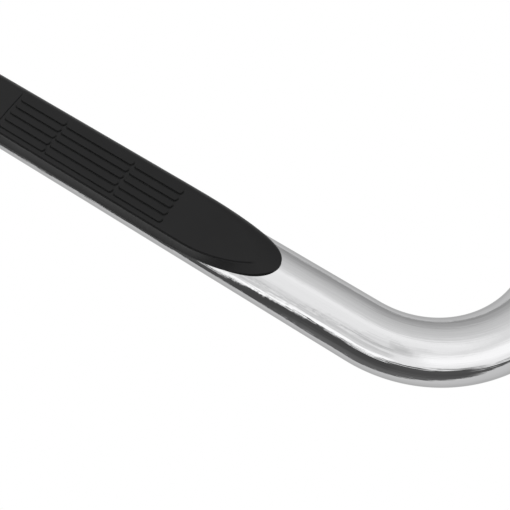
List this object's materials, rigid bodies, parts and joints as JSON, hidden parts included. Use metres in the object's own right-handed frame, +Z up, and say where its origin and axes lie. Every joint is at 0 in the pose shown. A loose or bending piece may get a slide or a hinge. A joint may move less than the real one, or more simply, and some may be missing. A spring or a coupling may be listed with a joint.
{
  "type": "running board",
  "caption": "Round polished side step bar with inboard-bent ends, moulded ridged step pads, end caps and slotted under-tube brackets.",
  "frame": {"origin": "middle of the middle bracket's pair of slots, on the foot's lower face, which bolts to the vehicle's arm", "axes": "+X along the bar towards the vehicle's front, +Y inboard, towards the vehicle, +Z up; the bar is the passenger side of a left-hand-drive vehicle, and its own mirror image fore and aft"},
  "size_m": [2.381, 0.2355, 0.1045],
  "materials": {
    "polished_tube": "mirror polished stainless steel",
    "pad_plastic": "moulded black, fine leather-like grain",
    "clip_nylon": "natural nylon",
    "foam_tape": "closed-cell foam with adhesive faces",
    "cap_plastic": "satin moulded black",
    "bracket_steel": "satin black powder coat",
    "isolator_rubber": "matte black",
    "insert_steel": "yellow zinc plated",
    "fastener_steel": "bright zinc plated"
  },
  "bodies": {
    "root": {"main_tube": "polished_tube", "front_step_pad": "pad_plastic", "front_pad_clips": "clip_nylon", "front_pad_tapes": "foam_tape", "front_end_cap": "cap_plastic", "rear_step_pad": "pad_plastic", "rear_pad_clips": "clip_nylon", "rear_pad_tapes": "foam_tape", "rear_end_cap": "cap_plastic", "front_mounting_bracket": "bracket_steel", "front_isolator": "isolator_rubber", "front_threaded_inserts": "insert_steel", "front_bracket_bolts": "fastener_steel", "front_spring_washers": "fastener_steel", "front_flat_washers": "fastener_steel", "middle_mounting_bracket": "bracket_steel", "middle_isolator": "isolator_rubber", "middle_threaded_inserts": "insert_steel", "middle_bracket_bolts": "fastener_steel", "middle_spring_washers": "fastener_steel", "middle_flat_washers": "fastener_steel", "rear_mounting_bracket": "bracket_steel", "rear_isolator": "isolator_rubber", "rear_threaded_inserts": "insert_steel", "rear_bracket_bolts": "fastener_steel", "rear_spring_washers": "fastener_steel", "rear_flat_washers": "fastener_steel"}
  },
  "joints": []
}
